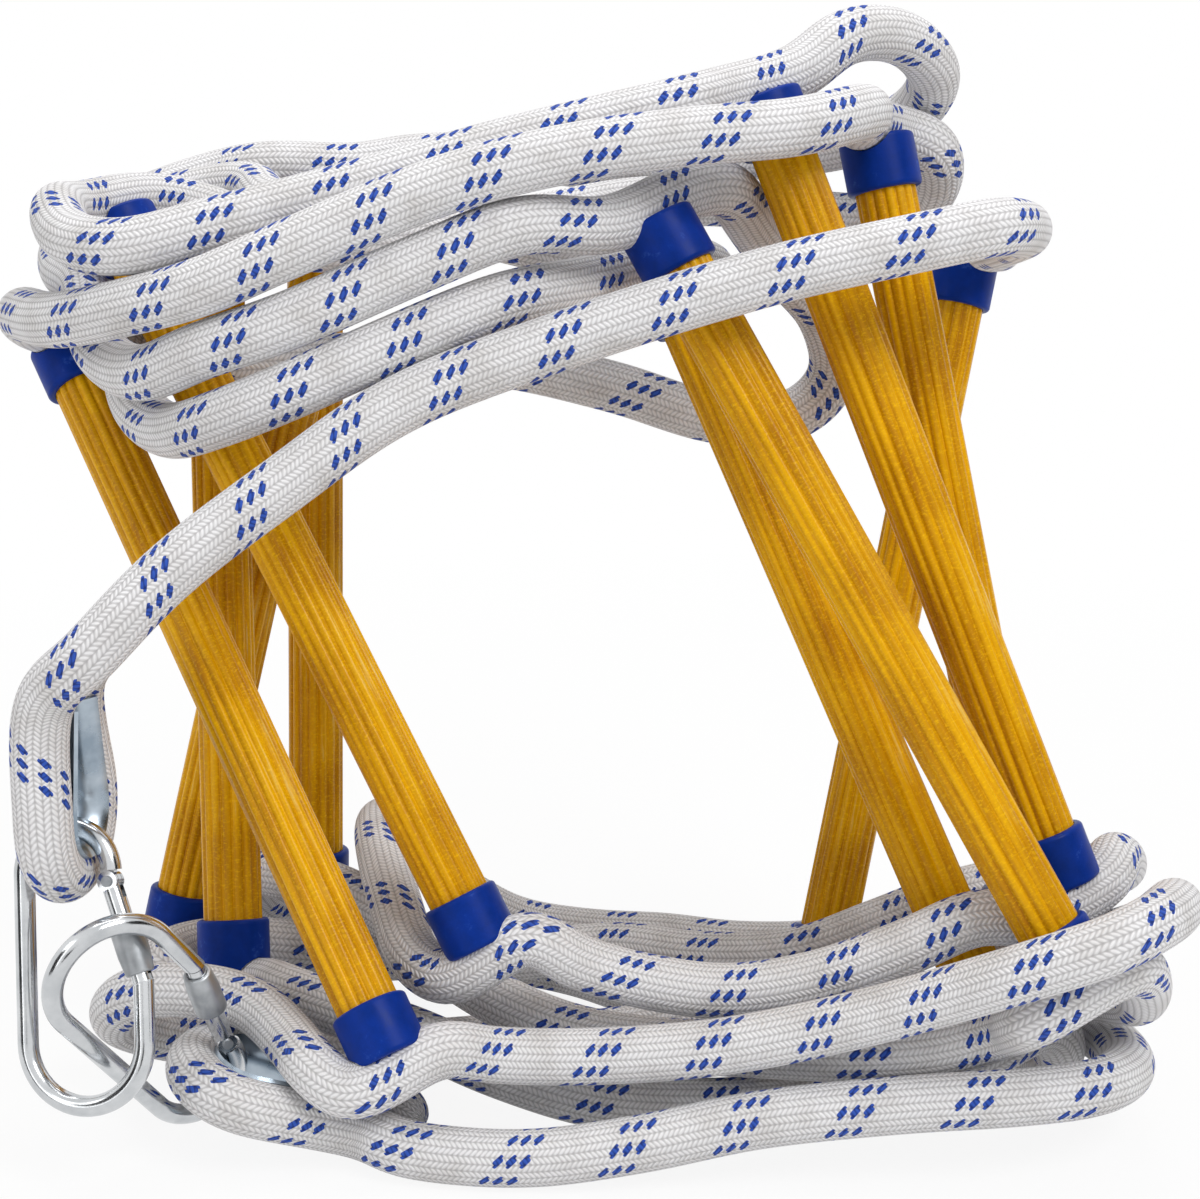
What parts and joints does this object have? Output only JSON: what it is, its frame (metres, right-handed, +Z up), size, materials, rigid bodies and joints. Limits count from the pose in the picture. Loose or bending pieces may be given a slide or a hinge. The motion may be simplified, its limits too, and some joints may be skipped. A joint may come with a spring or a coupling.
{
  "type": "rope ladder",
  "caption": "Rope escape ladder bundled for storage: ribbed tubular rungs with saddle-notched end caps between two braided side ropes, whose thimble eyes carry screw-gate carabiners.",
  "frame": {"origin": "on the floor, under the middle of the bundle's bounding box", "axes": "+X to the right along the bundle's longest extent, +Y away from the front along its shortest extent, +Z up along the standing rungs"},
  "size_m": [0.475, 0.3151, 0.4396],
  "materials": {
    "rung_resin": "golden-yellow pultruded glass-fibre resin, ribbed, satin",
    "cap_plastic": "royal blue moulded plastic, satin",
    "core_rope": "plain white laid core rope",
    "side_rope": "white herringbone braid with royal-blue marker yarns",
    "thimble_steel": "galvanised pressed steel",
    "carabiner_steel": "bright zinc-plated steel wire",
    "rivet_steel": "zinc-plated rivet",
    "sleeve_steel": "zinc-plated screw sleeve, fluted"
  },
  "bodies": {
    "root": {"rung_tube_1": "rung_resin", "rung_tube_2": "rung_resin", "rung_tube_3": "rung_resin", "rung_tube_4": "rung_resin", "rung_tube_5": "rung_resin", "rung_tube_6": "rung_resin", "rung_tube_7": "rung_resin", "rung_tube_8": "rung_resin", "rung_tube_9": "rung_resin", "rung_tube_10": "rung_resin", "lower_cap_1": "cap_plastic", "lower_cap_2": "cap_plastic", "lower_cap_3": "cap_plastic", "lower_cap_4": "cap_plastic", "lower_cap_5": "cap_plastic", "lower_cap_6": "cap_plastic", "lower_cap_7": "cap_plastic", "lower_cap_8": "cap_plastic", "lower_cap_9": "cap_plastic", "lower_cap_10": "cap_plastic", "upper_cap_1": "cap_plastic", "upper_cap_2": "cap_plastic", "upper_cap_3": "cap_plastic", "upper_cap_4": "cap_plastic", "upper_cap_5": "cap_plastic", "upper_cap_6": "cap_plastic", "upper_cap_7": "cap_plastic", "upper_cap_8": "cap_plastic", "upper_cap_9": "cap_plastic", "upper_cap_10": "cap_plastic", "rung_core_1": "core_rope", "rung_core_2": "core_rope", "rung_core_3": "core_rope", "rung_core_4": "core_rope", "rung_core_5": "core_rope", "rung_core_6": "core_rope", "rung_core_7": "core_rope", "rung_core_8": "core_rope", "rung_core_9": "core_rope", "rung_core_10": "core_rope", "upper_side_rope": "side_rope", "lower_side_rope": "side_rope", "upper_thimble": "thimble_steel", "lower_thimble": "thimble_steel"},
    "upper_carabiner": {"upper_carabiner_body": "carabiner_steel", "upper_hinge_rivet": "rivet_steel"},
    "upper_gate_arm": {"upper_gate": "carabiner_steel"},
    "upper_sleeve": {"upper_screw_sleeve": "sleeve_steel"},
    "lower_carabiner": {"lower_carabiner_body": "carabiner_steel", "lower_hinge_rivet": "rivet_steel"},
    "lower_gate_arm": {"lower_gate": "carabiner_steel"},
    "lower_sleeve": {"lower_screw_sleeve": "sleeve_steel"}
  },
  "joints": [
    {"name": "upper_carabiner_swing", "type": "hinge", "parent": "root", "child": "upper_carabiner", "pos_m": [-0.1957, -0.1022, 0.1195], "axis": [-0.2339, -0.9272, 0.2927], "range_deg": [-4, 2]},
    {"name": "upper_gate_hinge", "type": "hinge", "parent": "upper_carabiner", "child": "upper_gate_arm", "pos_m": [-0.1784, -0.10698, 0.11817], "axis": [0.2339, 0.9272, -0.2927], "range_deg": [0, 28], "stiffness_Nm_per_rad": 0.3, "springref_deg": -20.05},
    {"name": "upper_sleeve_slide", "type": "slide", "parent": "upper_gate_arm", "child": "upper_sleeve", "axis": [-0.3339, 0.3593, 0.8714], "range_m": [0, 0.008]},
    {"name": "lower_carabiner_swing", "type": "hinge", "parent": "root", "child": "lower_carabiner", "pos_m": [-0.1511, -0.0984, 0.0344], "axis": [-0.5217, 0.8246, 0.2188], "range_deg": [-2, 4]},
    {"name": "lower_gate_hinge", "type": "hinge", "parent": "lower_carabiner", "child": "lower_gate_arm", "pos_m": [-0.13969, -0.09475, 0.04784], "axis": [0.5217, -0.8246, -0.2188], "range_deg": [0, 28], "stiffness_Nm_per_rad": 0.3, "springref_deg": -20.05},
    {"name": "lower_sleeve_slide", "type": "slide", "parent": "lower_gate_arm", "child": "lower_sleeve", "axis": [0.1961, 0.3655, -0.9099], "range_m": [0, 0.008]}
  ]
}
